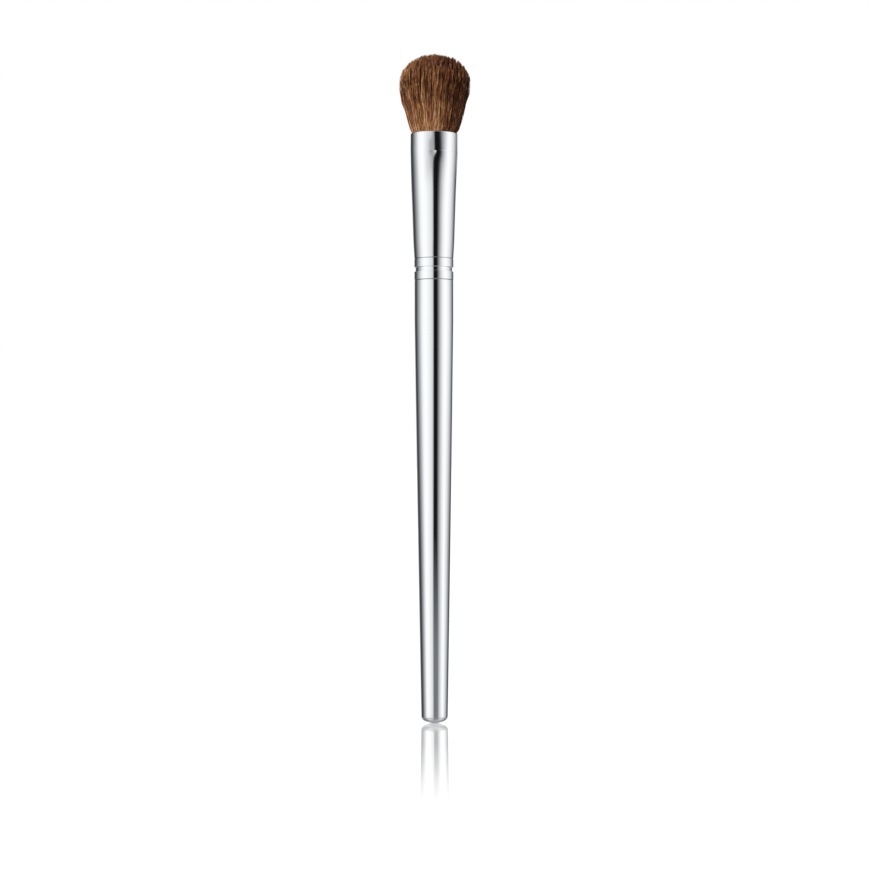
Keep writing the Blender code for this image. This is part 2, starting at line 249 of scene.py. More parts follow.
def nearest(points, centres):
    """For each point, the number of the nearest centre and the distance to it."""
    found = []
    for part in np.array_split(points, 16):
        gaps = np.linalg.norm(part[:, None, :] - centres[None, :, :], axis=2)
        found.append(np.stack([gaps.argmin(axis=1), gaps.min(axis=1)]))
    both = np.concatenate(found, axis=1)
    return both[0].astype(int), both[1]


def lay_hairs(hairs, lean, bundle_of, bundle_sway, locks, lock_lift, steps):
    """Points of all hairs, one row each, from their places in a unit disc."""
    count = len(hairs)
    lock_of, lock_gap = nearest(hairs + lean, locks)
    lock_reach = 1 / math.sqrt(LOCK_COUNT)
    shorter = LOCK_DROOP * np.clip(lock_gap / lock_reach, 0, 1.2) ** 2
    shorter = shorter + np.abs(draw.normal(0, TIP_SCATTER, count)) * MM
    tip_height = dome_height(np.linalg.norm(hairs + lean, axis=1)) + lock_lift[lock_of] * MM - shorter
    sway_size, sway_waves, sway_phase = bundle_sway[:, bundle_of]
    curl_size = np.abs(draw.normal(0, CURL, (count, 2))) * MM
    curl_waves = draw.uniform(2.2, 4.5, (count, 2))
    curl_phase = draw.uniform(0, math.tau, (count, 2))
    shares = np.concatenate([[-BELOW_MOUTH, -0.08], np.linspace(0, 1, steps) ** 0.9])
    half_width = MOUTH_HALF_WIDTH - FERRULE_WALL - HAIR_RADIUS
    half_depth = MOUTH_HALF_DEPTH - FERRULE_WALL - HAIR_RADIUS
    rows = []
    for share in shares:
        free = max(share, 0.0)
        spot = hairs + lean * free
        spot = spot + (locks[lock_of] - spot) * LOCK_GATHER * free**2
        grown = opened(free)
        size = np.array([half_width, half_depth]) * (1 - grown)
        size = size + np.array([TUFT_HALF_WIDTH, TUFT_HALF_DEPTH]) * grown
        spot = spot * size
        sway = sway_size * np.sin(sway_phase + sway_waves * math.tau * free)
        curl = curl_size * np.sin(curl_phase + curl_waves * math.tau * free)
        spot = spot + (sway + curl) * free**0.7
        if share >= 0:
            height = MOUTH_HEIGHT + (tip_height - MOUTH_HEIGHT) * share
        else:
            height = np.full(count, MOUTH_HEIGHT + (MOUTH_HEIGHT - HAIR_FOOT) * share / BELOW_MOUTH)
        set_right = TUFT_LEAN * free + LIP_LEAN * min(1, free / 0.05) + ROOT_LEAN
        set_right -= BOW * math.exp(-(((free - BOW_PLACE) / BOW_REACH) ** 2))
        rows.append(np.stack([spot[:, 0] + set_right, spot[:, 1], height], axis=1))
    return np.stack(rows, axis=1), np.clip(shares, 0, 1), lock_of


def hair_piece(name, paths, shares, tones, greys, places):
    """One mesh of closed three-sided hairs that thin to their tips, with their colour on the points."""
    deselect_all()
    section = bpy.data.curves.new("hair_section", "CURVE")
    outline = section.splines.new("POLY")
    outline.points.add(2)
    for i in range(3):
        angle = math.tau * i / 3
        outline.points[i].co = (HAIR_RADIUS * math.cos(angle), HAIR_RADIUS * math.sin(angle), 0, 1)
    outline.use_cyclic_u = True
    section_object = bpy.data.objects.new("hair_section", section)
    bpy.context.scene.collection.objects.link(section_object)
    lines = bpy.data.curves.new(name, "CURVE")
    lines.dimensions = "3D"
    lines.bevel_mode = "OBJECT"
    lines.bevel_object = section_object
    # A hair thins over its last fifth
    thinning = np.clip((1 - shares) / 0.2, 0, 1) ** 0.7
    thickness = TIP_RADIUS / HAIR_RADIUS + (1 - TIP_RADIUS / HAIR_RADIUS) * thinning
    spins = draw.uniform(0, math.tau, len(paths))
    for path, spin in zip(paths, spins):
        line = lines.splines.new("POLY")
        line.points.add(len(path) - 1)
        line.points.foreach_set("co", np.column_stack([path, np.ones(len(path))]).ravel())
        line.points.foreach_set("radius", thickness)
        line.points.foreach_set("tilt", np.full(len(path), spin))
        line.use_smooth = True
    piece = bpy.data.objects.new(name, lines)
    bpy.context.scene.collection.objects.link(piece)
    piece.select_set(True)
    bpy.context.view_layer.objects.active = piece
    bpy.ops.object.convert(target="MESH")
    piece = bpy.context.object
    piece.name = name
    bpy.data.objects.remove(section_object)
    bpy.ops.object.mode_set(mode="EDIT")
    bpy.ops.mesh.select_all(action="SELECT")
    bpy.ops.mesh.fill_holes(sides=3)
    bpy.ops.mesh.select_all(action="SELECT")
    bpy.ops.mesh.normals_make_consistent(inside=False)
    bpy.ops.object.mode_set(mode="OBJECT")
    mesh = piece.data
    corners = len(mesh.vertices) // len(paths)
    per_point = corners // paths.shape[1]
    # Painted light: the very tips at the sides are lighter, as where light comes through them
    tip_share = np.tile(np.repeat(np.clip((shares - 0.93) / 0.07, 0, 1), per_point), len(paths))
    at_side = np.repeat(np.clip((np.abs(places[:, 0]) - 0.3) / 0.5, 0, 1), corners)
    values = {
        "hair_shade": np.repeat(tones, corners) + 0.3 * tip_share * at_side,
        "hair_grey": np.repeat(greys, corners),
        "hair_along": np.tile(np.repeat(shares, per_point), len(paths)),
    }
    for attribute, numbers in values.items():
        made = mesh.attributes.new(attribute, "FLOAT", "POINT")
        made.data.foreach_set("value", numbers.astype(np.float32))
    heights = np.repeat(paths[:, :, 2].ravel(), per_point) / STREAK_LENGTH
    across = np.repeat(places, corners, axis=0) * TUFT_HALF_WIDTH / STREAK_WIDTH
    made = mesh.attributes.new("hair_place", "FLOAT_VECTOR", "POINT")
    made.data.foreach_set("vector", np.column_stack([across, heights]).astype(np.float32).ravel())
    mesh.materials.clear()
    mesh.materials.append(hair_material)
    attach(piece, "root")
    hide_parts("bristle_tuft")
    return piece


HAIR_COUNT = 12000
MANTLE_SHARE = 0.42
STRAY_SHARE = 0.03
GREY_SHARE = 0.06
MEAN_TONE = 0.41
# Points along a hair
HEART_STEPS = 6
MANTLE_STEPS = 14
bundle_count = HAIR_COUNT // HAIRS_IN_BUNDLE
hairs = sunflower(HAIR_COUNT, 0.44) + draw.normal(0, 0.004, (HAIR_COUNT, 2))
bundles = sunflower(bundle_count, 0.46) + draw.normal(0, 0.008, (bundle_count, 2))
locks = sunflower(LOCK_COUNT) + draw.normal(0, 0.012, (LOCK_COUNT, 2))
bundle_of, _ = nearest(hairs, bundles)
hairs = hairs + (bundles[bundle_of] - hairs) * 0.5
stray = draw.uniform(0, 1, HAIR_COUNT) < STRAY_SHARE
bundle_lean = draw.normal(0, 0.018, (bundle_count, 2))
own_lean = draw.normal(0, 1, (HAIR_COUNT, 2)) * np.where(stray, 0.045, 0.012)[:, None]
lean = bundle_lean[bundle_of] + own_lean
past = np.maximum(np.linalg.norm(hairs + lean, axis=1), 1)[:, None]
lean = (hairs + lean) / past - hairs
bundle_sway = np.stack(
    [
        draw.normal(0, 0.06, (bundle_count, 2)) * MM,
        draw.uniform(1.0, 2.4, (bundle_count, 2)),
        draw.uniform(0, math.tau, (bundle_count, 2)),
    ]
)
lock_lift = draw.uniform(-0.22, 0.16, LOCK_COUNT)
lock_tone = draw.normal(0, 0.04, LOCK_COUNT)
# Each bundle shares a tone: partly the hairs' own colour, partly painted highlight
bundle_tone = draw.normal(0, 0.08, bundle_count)[bundle_of]
own_tone = draw.normal(0, 0.125, HAIR_COUNT)
# The hair is darker towards the right side, a little darker at the far left and a little lighter in the
# middle. The hair at the heart shows only its tips and is darker: painted shade deep in the dome.
right = np.clip(hairs[:, 0] / 0.75, 0, 1)
far_left = np.clip((-hairs[:, 0] - 0.5) / 0.4, 0, 1)
middle = np.exp(-((hairs[:, 0] / 0.2) ** 2))
# Painted shade deep in the dome
heart = np.clip((1 - np.linalg.norm(hairs, axis=1)) / 0.25, 0, 1)
drift = 0.04 - 0.3 * right - 0.05 * far_left + 0.06 * middle - 0.25 * heart
greys = (draw.uniform(0, 1, bundle_count) < GREY_SHARE)[bundle_of] * draw.uniform(0.2, 0.6, HAIR_COUNT)
from_middle = np.argsort(np.linalg.norm(hairs, axis=1))
heart_count = int(HAIR_COUNT * (1 - MANTLE_SHARE))
heart_parts = np.array_split(from_middle[:heart_count], 2)
mantle_parts = np.array_split(from_middle[heart_count:], 3)
layers = [(f"tuft_heart_hair_{i + 1}", part, HEART_STEPS) for i, part in enumerate(heart_parts)]
layers += [(f"tuft_mantle_hair_{i + 1}", part, MANTLE_STEPS) for i, part in enumerate(mantle_parts)]
for name, part, steps in layers:
    laid = lay_hairs(hairs[part], lean[part], bundle_of[part], bundle_sway, locks, lock_lift, steps)
    paths, shares, lock_of = laid
    tones = MEAN_TONE + drift[part] + lock_tone[lock_of] + bundle_tone[part] + own_tone[part]
    hair_piece(name, paths, shares, np.clip(tones, 0, 1), greys[part], hairs[part])

# Tied root
# The roots are gathered to the ferrule's oval, wound with thread round a waist and dipped in glue, so
# that they make one hard block. The hairs rise from its top.
FOOT_HEIGHT = ferrule_low.z
COLLAR_RADIUS = 4.69 * MM
FERRULE_SWELL = 0.105 * MM
LINE_HEIGHT = FOOT_HEIGHT + 5.04 * MM
BAND_HEIGHT = MOUTH_HEIGHT - 3.8 * MM
PRESS_LENGTH = 20.8 * MM
PRESS_HEIGHT = MOUTH_HEIGHT - PRESS_LENGTH
ROOT_SIDES = 96
ROOT_GAP = 0.3 * MM
ROOT_TOP = tuft_low.z + 4.55 * MM
ROOT_EDGE = 0.12 * MM
FLANGE = 0.5 * MM
WAIST_INSET = 1.0 * MM


def smooth_share(value):
    value = np.clip(value, 0, 1)
    return value * value * (3 - 2 * value)


def ferrule_ring(height, inset=0.0):
    """(half width, half depth, height) of the ferrule's outline, or of one that far inside it."""
    taper = min(1, max(0, (height - LINE_HEIGHT) / (BAND_HEIGHT - LINE_HEIGHT)))
    half_width = COLLAR_RADIUS + (MOUTH_HALF_WIDTH - COLLAR_RADIUS) * taper
    half_width += FERRULE_SWELL * smooth_share(taper / 0.2) * (1 - taper) ** 2
    pressed = smooth_share((height - PRESS_HEIGHT) / PRESS_LENGTH)
    half_depth = half_width + (MOUTH_HALF_DEPTH - MOUTH_HALF_WIDTH) * pressed
    return (half_width - inset, half_depth - inset, height)


def start_tube(name, sides, ring):
    """Adds a circle as the first ring of a tube, and stays in edit mode with it selected."""
    deselect_all()
    half_width, half_depth, height = ring
    bpy.ops.mesh.primitive_circle_add(vertices=sides, radius=half_width, location=(0, 0, height))
    piece = bpy.context.object
    piece.name = name
    bpy.ops.object.transform_apply(location=True, rotation=True, scale=True)
    bpy.ops.object.mode_set(mode="EDIT")
    bpy.ops.mesh.select_all(action="SELECT")
    bpy.ops.transform.resize(value=(1, half_depth / half_width, 1), center_override=(0, 0, height))
    return piece


def draw_tube(rings):
    """Extrudes the selected ring along the rest of the rings."""
    for old, new in zip(rings, rings[1:]):
        bpy.ops.mesh.extrude_edges_move(TRANSFORM_OT_translate={"value": (0, 0, new[2] - old[2])})
        sizes = (new[0] / old[0], new[1] / old[1], 1)
        bpy.ops.transform.resize(value=sizes, center_override=(0, 0, new[2]))


def draw_closed_tube(name, sides, rings):
    """Draws a tube whose two ends are closed with fans, and stays in edit mode."""
    piece = start_tube(name, sides, rings[0])
    bpy.ops.mesh.edge_face_add()
    bpy.ops.mesh.poke()
    bpy.ops.mesh.select_mode(type="EDGE")
    bpy.ops.mesh.select_non_manifold(extend=False)
    draw_tube(rings)
    bpy.ops.mesh.edge_face_add()
    bpy.ops.mesh.poke()
    return piece


def end_tube(piece, smooth_angle):
    """Turns the faces outwards, leaves edit mode and smooths the round faces."""
    bpy.ops.mesh.select_all(action="SELECT")
    bpy.ops.mesh.remove_doubles(threshold=0.0005 * MM)
    bpy.ops.mesh.normals_make_consistent(inside=False)
    bpy.ops.object.mode_set(mode="OBJECT")
    bpy.ops.object.shade_smooth_by_angle(angle=math.radians(smooth_angle))


def corner(radius, steps, start, end):
    """(outward, upward) offsets along a rounded corner, in degrees up from the outward direction."""
    angles = [math.radians(start + (end - start) * i / steps) for i in range(steps + 1)]
    return [(radius * math.cos(a), radius * math.sin(a)) for a in angles]


def up(start, end, count):
    """Evenly spaced heights after start, up to and with end."""
    return [start + (end - start) * i / count for i in range(1, count + 1)]


def root_ring(height, inset=0.0):
    return ferrule_ring(height, FERRULE_WALL + ROOT_GAP + inset)


rings = [root_ring(tuft_low.z, 2.6 * MM), root_ring(tuft_low.z, 1.2 * MM)]
for out, rise in corner(ROOT_EDGE, 3, -90, 0):
    rings.append(root_ring(tuft_low.z + ROOT_EDGE + rise, ROOT_EDGE - out))
for out, rise in corner(ROOT_EDGE, 3, 0, 90):
    rings.append(root_ring(tuft_low.z + FLANGE - ROOT_EDGE + rise, ROOT_EDGE - out))
waist_low = tuft_low.z + FLANGE + 0.1 * MM
waist_high = ROOT_TOP - FLANGE - 0.1 * MM
rings.append(root_ring(waist_low, WAIST_INSET * 0.8))
for i in range(9):
    # The turns of thread pull the waist in a little between them
    height = waist_low + (waist_high - waist_low) * (i + 0.5) / 9
    rings.append(root_ring(height, WAIST_INSET + (0.05 * MM if i % 3 == 1 else 0)))
rings.append(root_ring(waist_high, WAIST_INSET * 0.8))
for out, rise in corner(ROOT_EDGE, 3, -90, 0):
    rings.append(root_ring(ROOT_TOP - FLANGE + ROOT_EDGE + rise, ROOT_EDGE - out))
for out, rise in corner(ROOT_EDGE, 3, 0, 90):
    rings.append(root_ring(ROOT_TOP - ROOT_EDGE + rise, ROOT_EDGE - out))
rings += [root_ring(ROOT_TOP, 1.2 * MM), root_ring(ROOT_TOP, 2.6 * MM)]
root = draw_closed_tube("tied_root", ROOT_SIDES, rings)
end_tube(root, smooth_angle=40)

# Glued hair roots: the same brown hair, darkened and stuck together, with a satin film of glue
root_material, tree = new_material("glued_hair_roots")
where = add_node(tree, "ShaderNodeTexCoord")
root_scale = add_node(
    tree,
    "ShaderNodeMapping",
    values={"Scale": (1 / (0.12 * MM), 1 / (0.12 * MM), 1 / (2 * MM))},
    links={"Vector": where.outputs["Object"]},
)
strands = add_node(
    tree,
    "ShaderNodeTexNoise",
    values={"Scale": 1.0, "Detail": 3.0, "Roughness": 0.6},
    links={"Vector": root_scale.outputs["Vector"]},
)
root_brown = add_node(tree, "ShaderNodeValToRGB", links={"Fac": strands.outputs["Fac"]})
set_stops(root_brown, [(0.3, colour("#24120b")), (0.5, colour("#4b2b1b")), (0.72, colour("#8a5a3a"))])
root_relief = add_node(
    tree,
    "ShaderNodeBump",
    values={"Strength": 0.6, "Distance": 0.05 * MM},
    links={"Height": strands.outputs["Fac"]},
)
root_shader = add_node(
    tree,
    "ShaderNodeBsdfPrincipled",
    values={"Roughness": 0.38},
    links={"Base Color": root_brown.outputs["Color"], "Normal": root_relief.outputs["Normal"]},
)
finish_material(tree, root_shader)
root.data.materials.append(root_material)
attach(root, "root")
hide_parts("bristle_tuft")


def finish_node(name, material):
    """Gives a carried-over CAD node its material."""
    slots = bpy.data.objects[name].data.materials
    slots.clear()
    slots.append(material)


# Binding thread
# A waxed polyester thread is wound three turns round the waist of the roots and pulled tight.
# Waxed thread: cream, with a soft sheen of wax, and the fine slanting lines of its twisted plies.
# The plies cross 70 times in each turn of about 27 mm, as on a thread twisted once every 0.4 mm.
PLIES_IN_TURN = 70
PLY_RISE = 0.45 * MM
thread_material, tree = new_material("waxed_twisted_thread")
where = add_node(tree, "ShaderNodeTexCoord")
around = add_node(
    tree,
    "ShaderNodeTexGradient",
    links={"Vector": where.outputs["Object"]},
    gradient_type="RADIAL",
)
rise = add_node(tree, "ShaderNodeSeparateXYZ", links={0: where.outputs["Object"]})
climb = add_node(
    tree,
    "ShaderNodeMath",
    values={1: 1 / PLY_RISE},
    links={0: rise.outputs["Z"]},
    operation="MULTIPLY",
)
plies = add_node(
    tree,
    "ShaderNodeMath",
    values={1: PLIES_IN_TURN},
    links={0: around.outputs["Fac"], 2: climb.outputs[0]},
    operation="MULTIPLY_ADD",
)
ply = add_node(tree, "ShaderNodeMath", values={1: 1.0}, links={0: plies.outputs[0]}, operation="PINGPONG")
# The darker lines where the plies meet are painted shade in their grooves
thread_colour = add_node(tree, "ShaderNodeValToRGB", links={"Fac": ply.outputs[0]})
set_stops(thread_colour, [(0.0, colour("#a99f89")), (0.35, colour("#e0dac9")), (1.0, colour("#efe9da"))])
thread_relief = add_node(
    tree,
    "ShaderNodeBump",
    values={"Strength": 0.7, "Distance": 0.04 * MM},
    links={"Height": ply.outputs[0]},
)
thread_shader = add_node(
    tree,
    "ShaderNodeBsdfPrincipled",
    values={"Roughness": 0.5, "Sheen Weight": 0.3},
    links={"Base Color": thread_colour.outputs["Color"], "Normal": thread_relief.outputs["Normal"]},
)
finish_material(tree, thread_shader)
finish_node("root_binding", thread_material)

# Ferrule
# The real one is a tube of polished and lacquered aluminium, tapered and pressed oval at its mouth.
# It is rolled into the joint's peg in one groove, and a fine ring is scribed above it.
FERRULE_SIDES = 288
FOOT_ROUND = 0.13 * MM
LIP_ROUND = 0.15 * MM
# The seam to the handle is the hairline that it really is, closer than the gap between the solids
FOOT_DROP = 0.05 * MM
SEAM_GAP = 0.03 * MM
# (height above the foot or the line, depth) in millimetres
GROOVE = [
    (1.6, 0), (1.88, 0), (1.94, 0), (1.95, 0.005), (1.959, 0.018), (1.988, 0.292), (1.997, 0.305),
    (2.007, 0.31), (2.07, 0.31), (2.5, 0.31), (2.85, 0.31), (2.933, 0.31), (2.943, 0.305), (2.952, 0.292),
    (2.981, 0.018), (2.99, 0.005), (3.0, 0), (3.06, 0), (3.3, 0),
]
LINE = [
    (-0.4, 0), (-0.2, 0), (-0.13, 0), (-0.09, 0.01), (-0.05, 0.11),
    (0.05, 0.11), (0.09, 0.01), (0.13, 0), (0.2, 0), (0.4, 0),
]
foot = FOOT_HEIGHT - FOOT_DROP
outside = []
for out, rise in corner(FOOT_ROUND, 5, -90, 0):
    outside.append(ferrule_ring(foot + FOOT_ROUND + rise, FOOT_ROUND - out))
outside += [ferrule_ring(foot + FOOT_ROUND + z) for z in (0.06 * MM, 0.2 * MM)]
for above_foot, depth in GROOVE:
    outside.append(ferrule_ring(FOOT_HEIGHT + above_foot * MM, depth * MM))
for above_line, depth in LINE:
    outside.append(ferrule_ring(LINE_HEIGHT + above_line * MM, depth * MM))
# (height, how many rings up to it), closest together round the upper end of the crease
STAGES = [
    (PRESS_HEIGHT, 12), (BAND_HEIGHT - 2.6 * MM, 30), (BAND_HEIGHT - 1.2 * MM, 9),
    (BAND_HEIGHT - 0.4 * MM, 16), (BAND_HEIGHT + 0.2 * MM, 5), (MOUTH_HEIGHT - 1.5 * LIP_ROUND, 12),
]
reached = LINE_HEIGHT + 0.4 * MM
for stage_end, count in STAGES:
    outside += [ferrule_ring(z) for z in up(reached, stage_end, count)]
    reached = stage_end
for out, rise in corner(LIP_ROUND, 5, 0, 90):
    outside.append(ferrule_ring(MOUTH_HEIGHT - LIP_ROUND + rise, LIP_ROUND - out))
inside = []
for out, rise in corner(LIP_ROUND, 4, 90, 180):
    inside.append(ferrule_ring(MOUTH_HEIGHT - LIP_ROUND + rise, FERRULE_WALL - LIP_ROUND - out))
inside += [ferrule_ring(z, FERRULE_WALL) for z in up(MOUTH_HEIGHT - LIP_ROUND, LINE_HEIGHT, 20)]
for above_foot, depth in reversed(GROOVE):
    inside.append(ferrule_ring(FOOT_HEIGHT + above_foot * MM, FERRULE_WALL + depth * MM))
inside.append(ferrule_ring(foot, FERRULE_WALL))
# The last ring is the first one again, so that the wall is closed all round
rings = outside + inside
rings.append(rings[0])
ferrule = start_tube("ferrule_tube", FERRULE_SIDES, rings[0])
draw_tube(rings)
end_tube(ferrule, smooth_angle=40)

# The press has left a shallow hollow beside the middle of the front, which ends in a small crease below
# the mouth, and the oval's sides are fuller than an ellipse. Each is given as how steeply the wall runs
# inward, at places across the tube in millimetres from its middle.
FULL_SIDES = [
    (0, 0), (2.75, 0), (3.2, 0.045), (3.7, 0.12), (4.17, 0.21), (4.65, 0.32), (5.1, 0.5), (5.7, 0.6),
]
HOLLOW = [
    (-2.75, 0), (-2.25, 0.075), (-1.78, 0.14), (-1.3, 0.13),
    (-0.82, 0.075), (-0.4, 0.02), (-0.1, 0.012), (0.15, 0),
]
FLAT_LEFT = [(-0.4, 0), (-0.1, -0.03), (0.3, -0.022), (0.7, 0)]
FLAT_RIGHT = [(0.4, 0), (0.9, -0.02), (1.4, -0.036), (2.2, -0.026), (3.0, 0)]
CREASE = [
    (-2, 0), (-1.5, 0.008), (-0.7, 0.012), (-0.35, 0.008), (-0.2, 0), (0, -0.035), (0.23, -0.075),
    (0.47, -0.105), (0.62, -0.09), (0.75, -0.02), (0.95, -0.012), (1.6, -0.012), (2.2, 0),
    (2.8, 0.008), (3.6, 0.008), (4.1, 0),
]
LEFT_FLATTER = 0.45
# The wall is moved less where it turns away to the sides
SIDE_FADE = 1.4 * MM
# The press has also set the mouth a little to the right
MOUTH_LEAN = 0.17 * MM


def gone_in(slopes, across):
    """How far the wall has gone in at places across the tube."""
    places, steepness = np.array(slopes).T
    grid = np.linspace(-6, 6, 601)
    steep = np.interp(grid, places, steepness)
    depth = np.concatenate([[0], np.cumsum((steep[1:] + steep[:-1]) / 2 * (grid[1] - grid[0]))])
    return np.interp(across / MM, grid, depth) * MM


def mesh_points(piece):
    points = np.empty(len(piece.data.vertices) * 3, np.float32)
    piece.data.vertices.foreach_get("co", points)
    return points.reshape(-1, 3)


points = mesh_points(ferrule)
across, height = points[:, 0], points[:, 2]
below = (MOUTH_HEIGHT - height) / MM
# Each mark grows from the mouth or the crease's upper end, and fades out some millimetres further down
fade = (0.55 + 0.45 * smooth_share(below / 3)) * smooth_share((14.5 - below) / 6)
inward = gone_in(HOLLOW, across) * fade
fade = (0.6 + 0.4 * smooth_share(below / 4.5)) * smooth_share((7.6 - below) / 2.6)
inward += gone_in(FLAT_LEFT, across) * fade
inward += gone_in(FLAT_RIGHT, across) * smooth_share(below / 5) * smooth_share((8 - below) / 2.6)
fade = smooth_share((below - 4.45) / 0.32) * np.clip((6.5 - below) / 1.7, 0, 1) ** 1.5
inward += gone_in(CREASE, across) * fade
inward *= points[:, 1] < 0
full = gone_in(FULL_SIDES, np.abs(across)) * smooth_share((height - PRESS_HEIGHT) / PRESS_LENGTH)
inward += full * (1 - LEFT_FLATTER * (across < 0) * smooth_share((12 - below) / 9))
points[:, 1] -= np.sign(points[:, 1]) * inward * smooth_share(np.abs(points[:, 1]) / SIDE_FADE)
points[:, 0] += MOUTH_LEAN * smooth_share((14 - below) / 14)
ferrule.data.vertices.foreach_set("co", points.ravel())
ferrule.data.update()


def set_painted_shade(piece, painted_shade):
    """Keeps on the mesh where the metal is darkened by painted shade and made rougher, from 0 to 1."""
    made = piece.data.attributes.new("painted_shade", "FLOAT", "POINT")
    made.data.foreach_set("value", np.clip(painted_shade, 0, 1).astype(np.float32))


# Painted shade, with a rougher finish, keeps to a narrow strip along the scribed ring and along the seam
LINE_SHADE = 0.6
FERRULE_SEAM_SHADE = 0.5
HANDLE_SEAM_SHADE = 0.25
SHADE_REACH = 0.1 * MM
SHADE_FADE = 0.08 * MM
outer = np.hypot(points[:, 0], points[:, 1]) > COLLAR_RADIUS - FERRULE_WALL
line_shade = LINE_SHADE * outer * smooth_share((0.09 * MM - np.abs(height - LINE_HEIGHT)) / (0.04 * MM))
seam_shade = FERRULE_SEAM_SHADE * smooth_share((foot + SHADE_REACH - height) / SHADE_FADE)
set_painted_shade(ferrule, np.maximum(line_shade, seam_shade))


# Polished aluminium under clear lacquer: a clean mirror, softened a little by fine lengthwise lines from
# drawing and by faint smears in the lacquer.
def polished_aluminium(name, line_pitch, smear_pitch):
    made, tree = new_material(name)
    where = add_node(tree, "ShaderNodeTexCoord")
    line_scale = add_node(
        tree,
        "ShaderNodeMapping",
        values={"Scale": (1 / line_pitch, 1 / line_pitch, 0.02 / line_pitch)},
        links={"Vector": where.outputs["Object"]},
    )
    lines = add_node(
        tree,
        "ShaderNodeTexNoise",
        values={"Scale": 1.0, "Detail": 3.0, "Roughness": 0.6},
        links={"Vector": line_scale.outputs["Vector"]},
    )
    smears = add_node(
        tree,
        "ShaderNodeTexNoise",
        values={"Scale": 1 / smear_pitch, "Detail": 3.0, "Roughness": 0.5},
        links={"Vector": where.outputs["Object"]},
    )
    polish = add_node(
        tree,
        "ShaderNodeMapRange",
        values={"From Min": 0.3, "From Max": 0.7, "To Min": 0.045, "To Max": 0.07},
        links={"Value": smears.outputs["Fac"]},
    )
    # Painted shade: the mark kept on the mesh darkens the metal and makes it rougher
    painted_shade = add_node(tree, "ShaderNodeAttribute", attribute_name="painted_shade")
    roughness = add_node(
        tree,
        "ShaderNodeMath",
        values={1: 0.3},
        links={0: painted_shade.outputs["Fac"], 2: polish.outputs["Result"]},
        operation="MULTIPLY_ADD",
    )
    bright = add_node(tree, "ShaderNodeValToRGB", links={"Fac": painted_shade.outputs["Fac"]})
    set_stops(bright, [(0.0, colour("#f3f4f5")), (1.0, colour("#80858b"))])
    relief = add_node(
        tree,
        "ShaderNodeBump",
        values={"Strength": 0.05, "Distance": 0.001 * MM},
        links={"Height": lines.outputs["Fac"]},
    )
    shader = add_node(
        tree,
        "ShaderNodeBsdfPrincipled",
        values={"Metallic": 1.0},
        links={
            "Base Color": bright.outputs["Color"],
            "Roughness": roughness.outputs[0],
            "Normal": relief.outputs["Normal"],
        },
    )
    finish_material(tree, shader)
    return made


ferrule.data.materials.append(polished_aluminium("lacquered_polished_aluminium", 0.05 * MM, 3 * MM))
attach(ferrule, "root")
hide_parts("ferrule")

# Resin plug
# Clear amber epoxy is poured in behind the tied root, and its lower face dries with a dish.
# Cast epoxy: glossy, amber and half clear, with small bubbles under the surface.
def cast_clear(name, pale, deep, bubble_pitch, clearness):
    made, tree = new_material(name)
    where = add_node(tree, "ShaderNodeTexCoord")
    cloud = add_node(
        tree,
        "ShaderNodeTexNoise",
        values={"Scale": 1 / (2 * MM), "Detail": 2.0},
        links={"Vector": where.outputs["Object"]},
    )
    tint = add_node(tree, "ShaderNodeValToRGB", links={"Fac": cloud.outputs["Fac"]})
    set_stops(tint, [(0.35, colour(pale)), (0.65, colour(deep))])
    bubbles = add_node(
        tree,
        "ShaderNodeTexVoronoi",
        values={"Scale": 1 / bubble_pitch},
        links={"Vector": where.outputs["Object"]},
    )
    bubble = add_node(
        tree,
        "ShaderNodeMapRange",
        values={"From Min": 0.0, "From Max": 0.3, "To Min": 0.0, "To Max": 1.0},
        links={"Value": bubbles.outputs["Distance"]},
    )
    relief = add_node(
        tree,
        "ShaderNodeBump",
        values={"Strength": 0.3, "Distance": 0.05 * MM},
        links={"Height": bubble.outputs["Result"]},
    )
    shader = add_node(
        tree,
        "ShaderNodeBsdfPrincipled",
        values={"Roughness": 0.15, "IOR": 1.54, "Transmission Weight": clearness},
        links={"Base Color": tint.outputs["Color"], "Normal": relief.outputs["Normal"]},
    )
    finish_material(tree, shader)
    return made


finish_node("root_resin", cast_clear("cast_amber_epoxy", "#d9a761", "#9c6a2c", 0.7 * MM, 0.45))

# Handle
# The real one is a long tapered tube of the same polished aluminium, spun shut at its butt in a
# shallow dome. The joint's peg is pressed into its open top.
HANDLE_SIDES = 192
_, handle_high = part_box("handle_shell")
HANDLE_TOP = handle_high.z
HANDLE_TOP_RADIUS = handle_high.x + 0.04 * MM
BUTT_RADIUS = 3.19 * MM
HANDLE_WALL = 0.6 * MM
HANDLE_SWELL = 0.065 * MM
TAPER_TOP = HANDLE_TOP - 9.4 * MM
LAND_RADIUS = 0.9 * MM
RIM_RADIUS = 1.3 * MM
BUTT_SLOPE = 20
HANDLE_EDGE = 0.1 * MM
HANDLE_END = foot - SEAM_GAP
slope = math.radians(BUTT_SLOPE)
slope_reach = BUTT_RADIUS - RIM_RADIUS * (1 - math.sin(slope)) - LAND_RADIUS
RIM_HEIGHT = slope_reach * math.tan(slope) + RIM_RADIUS * math.cos(slope)


def handle_ring(height, inset=0.0):
    share = min(1, max(0, (height - RIM_HEIGHT) / (TAPER_TOP - RIM_HEIGHT)))
    radius = BUTT_RADIUS + (HANDLE_TOP_RADIUS - BUTT_RADIUS) * share
    radius += HANDLE_SWELL * 4 * share * (1 - share) - inset
    return (radius, radius, height)


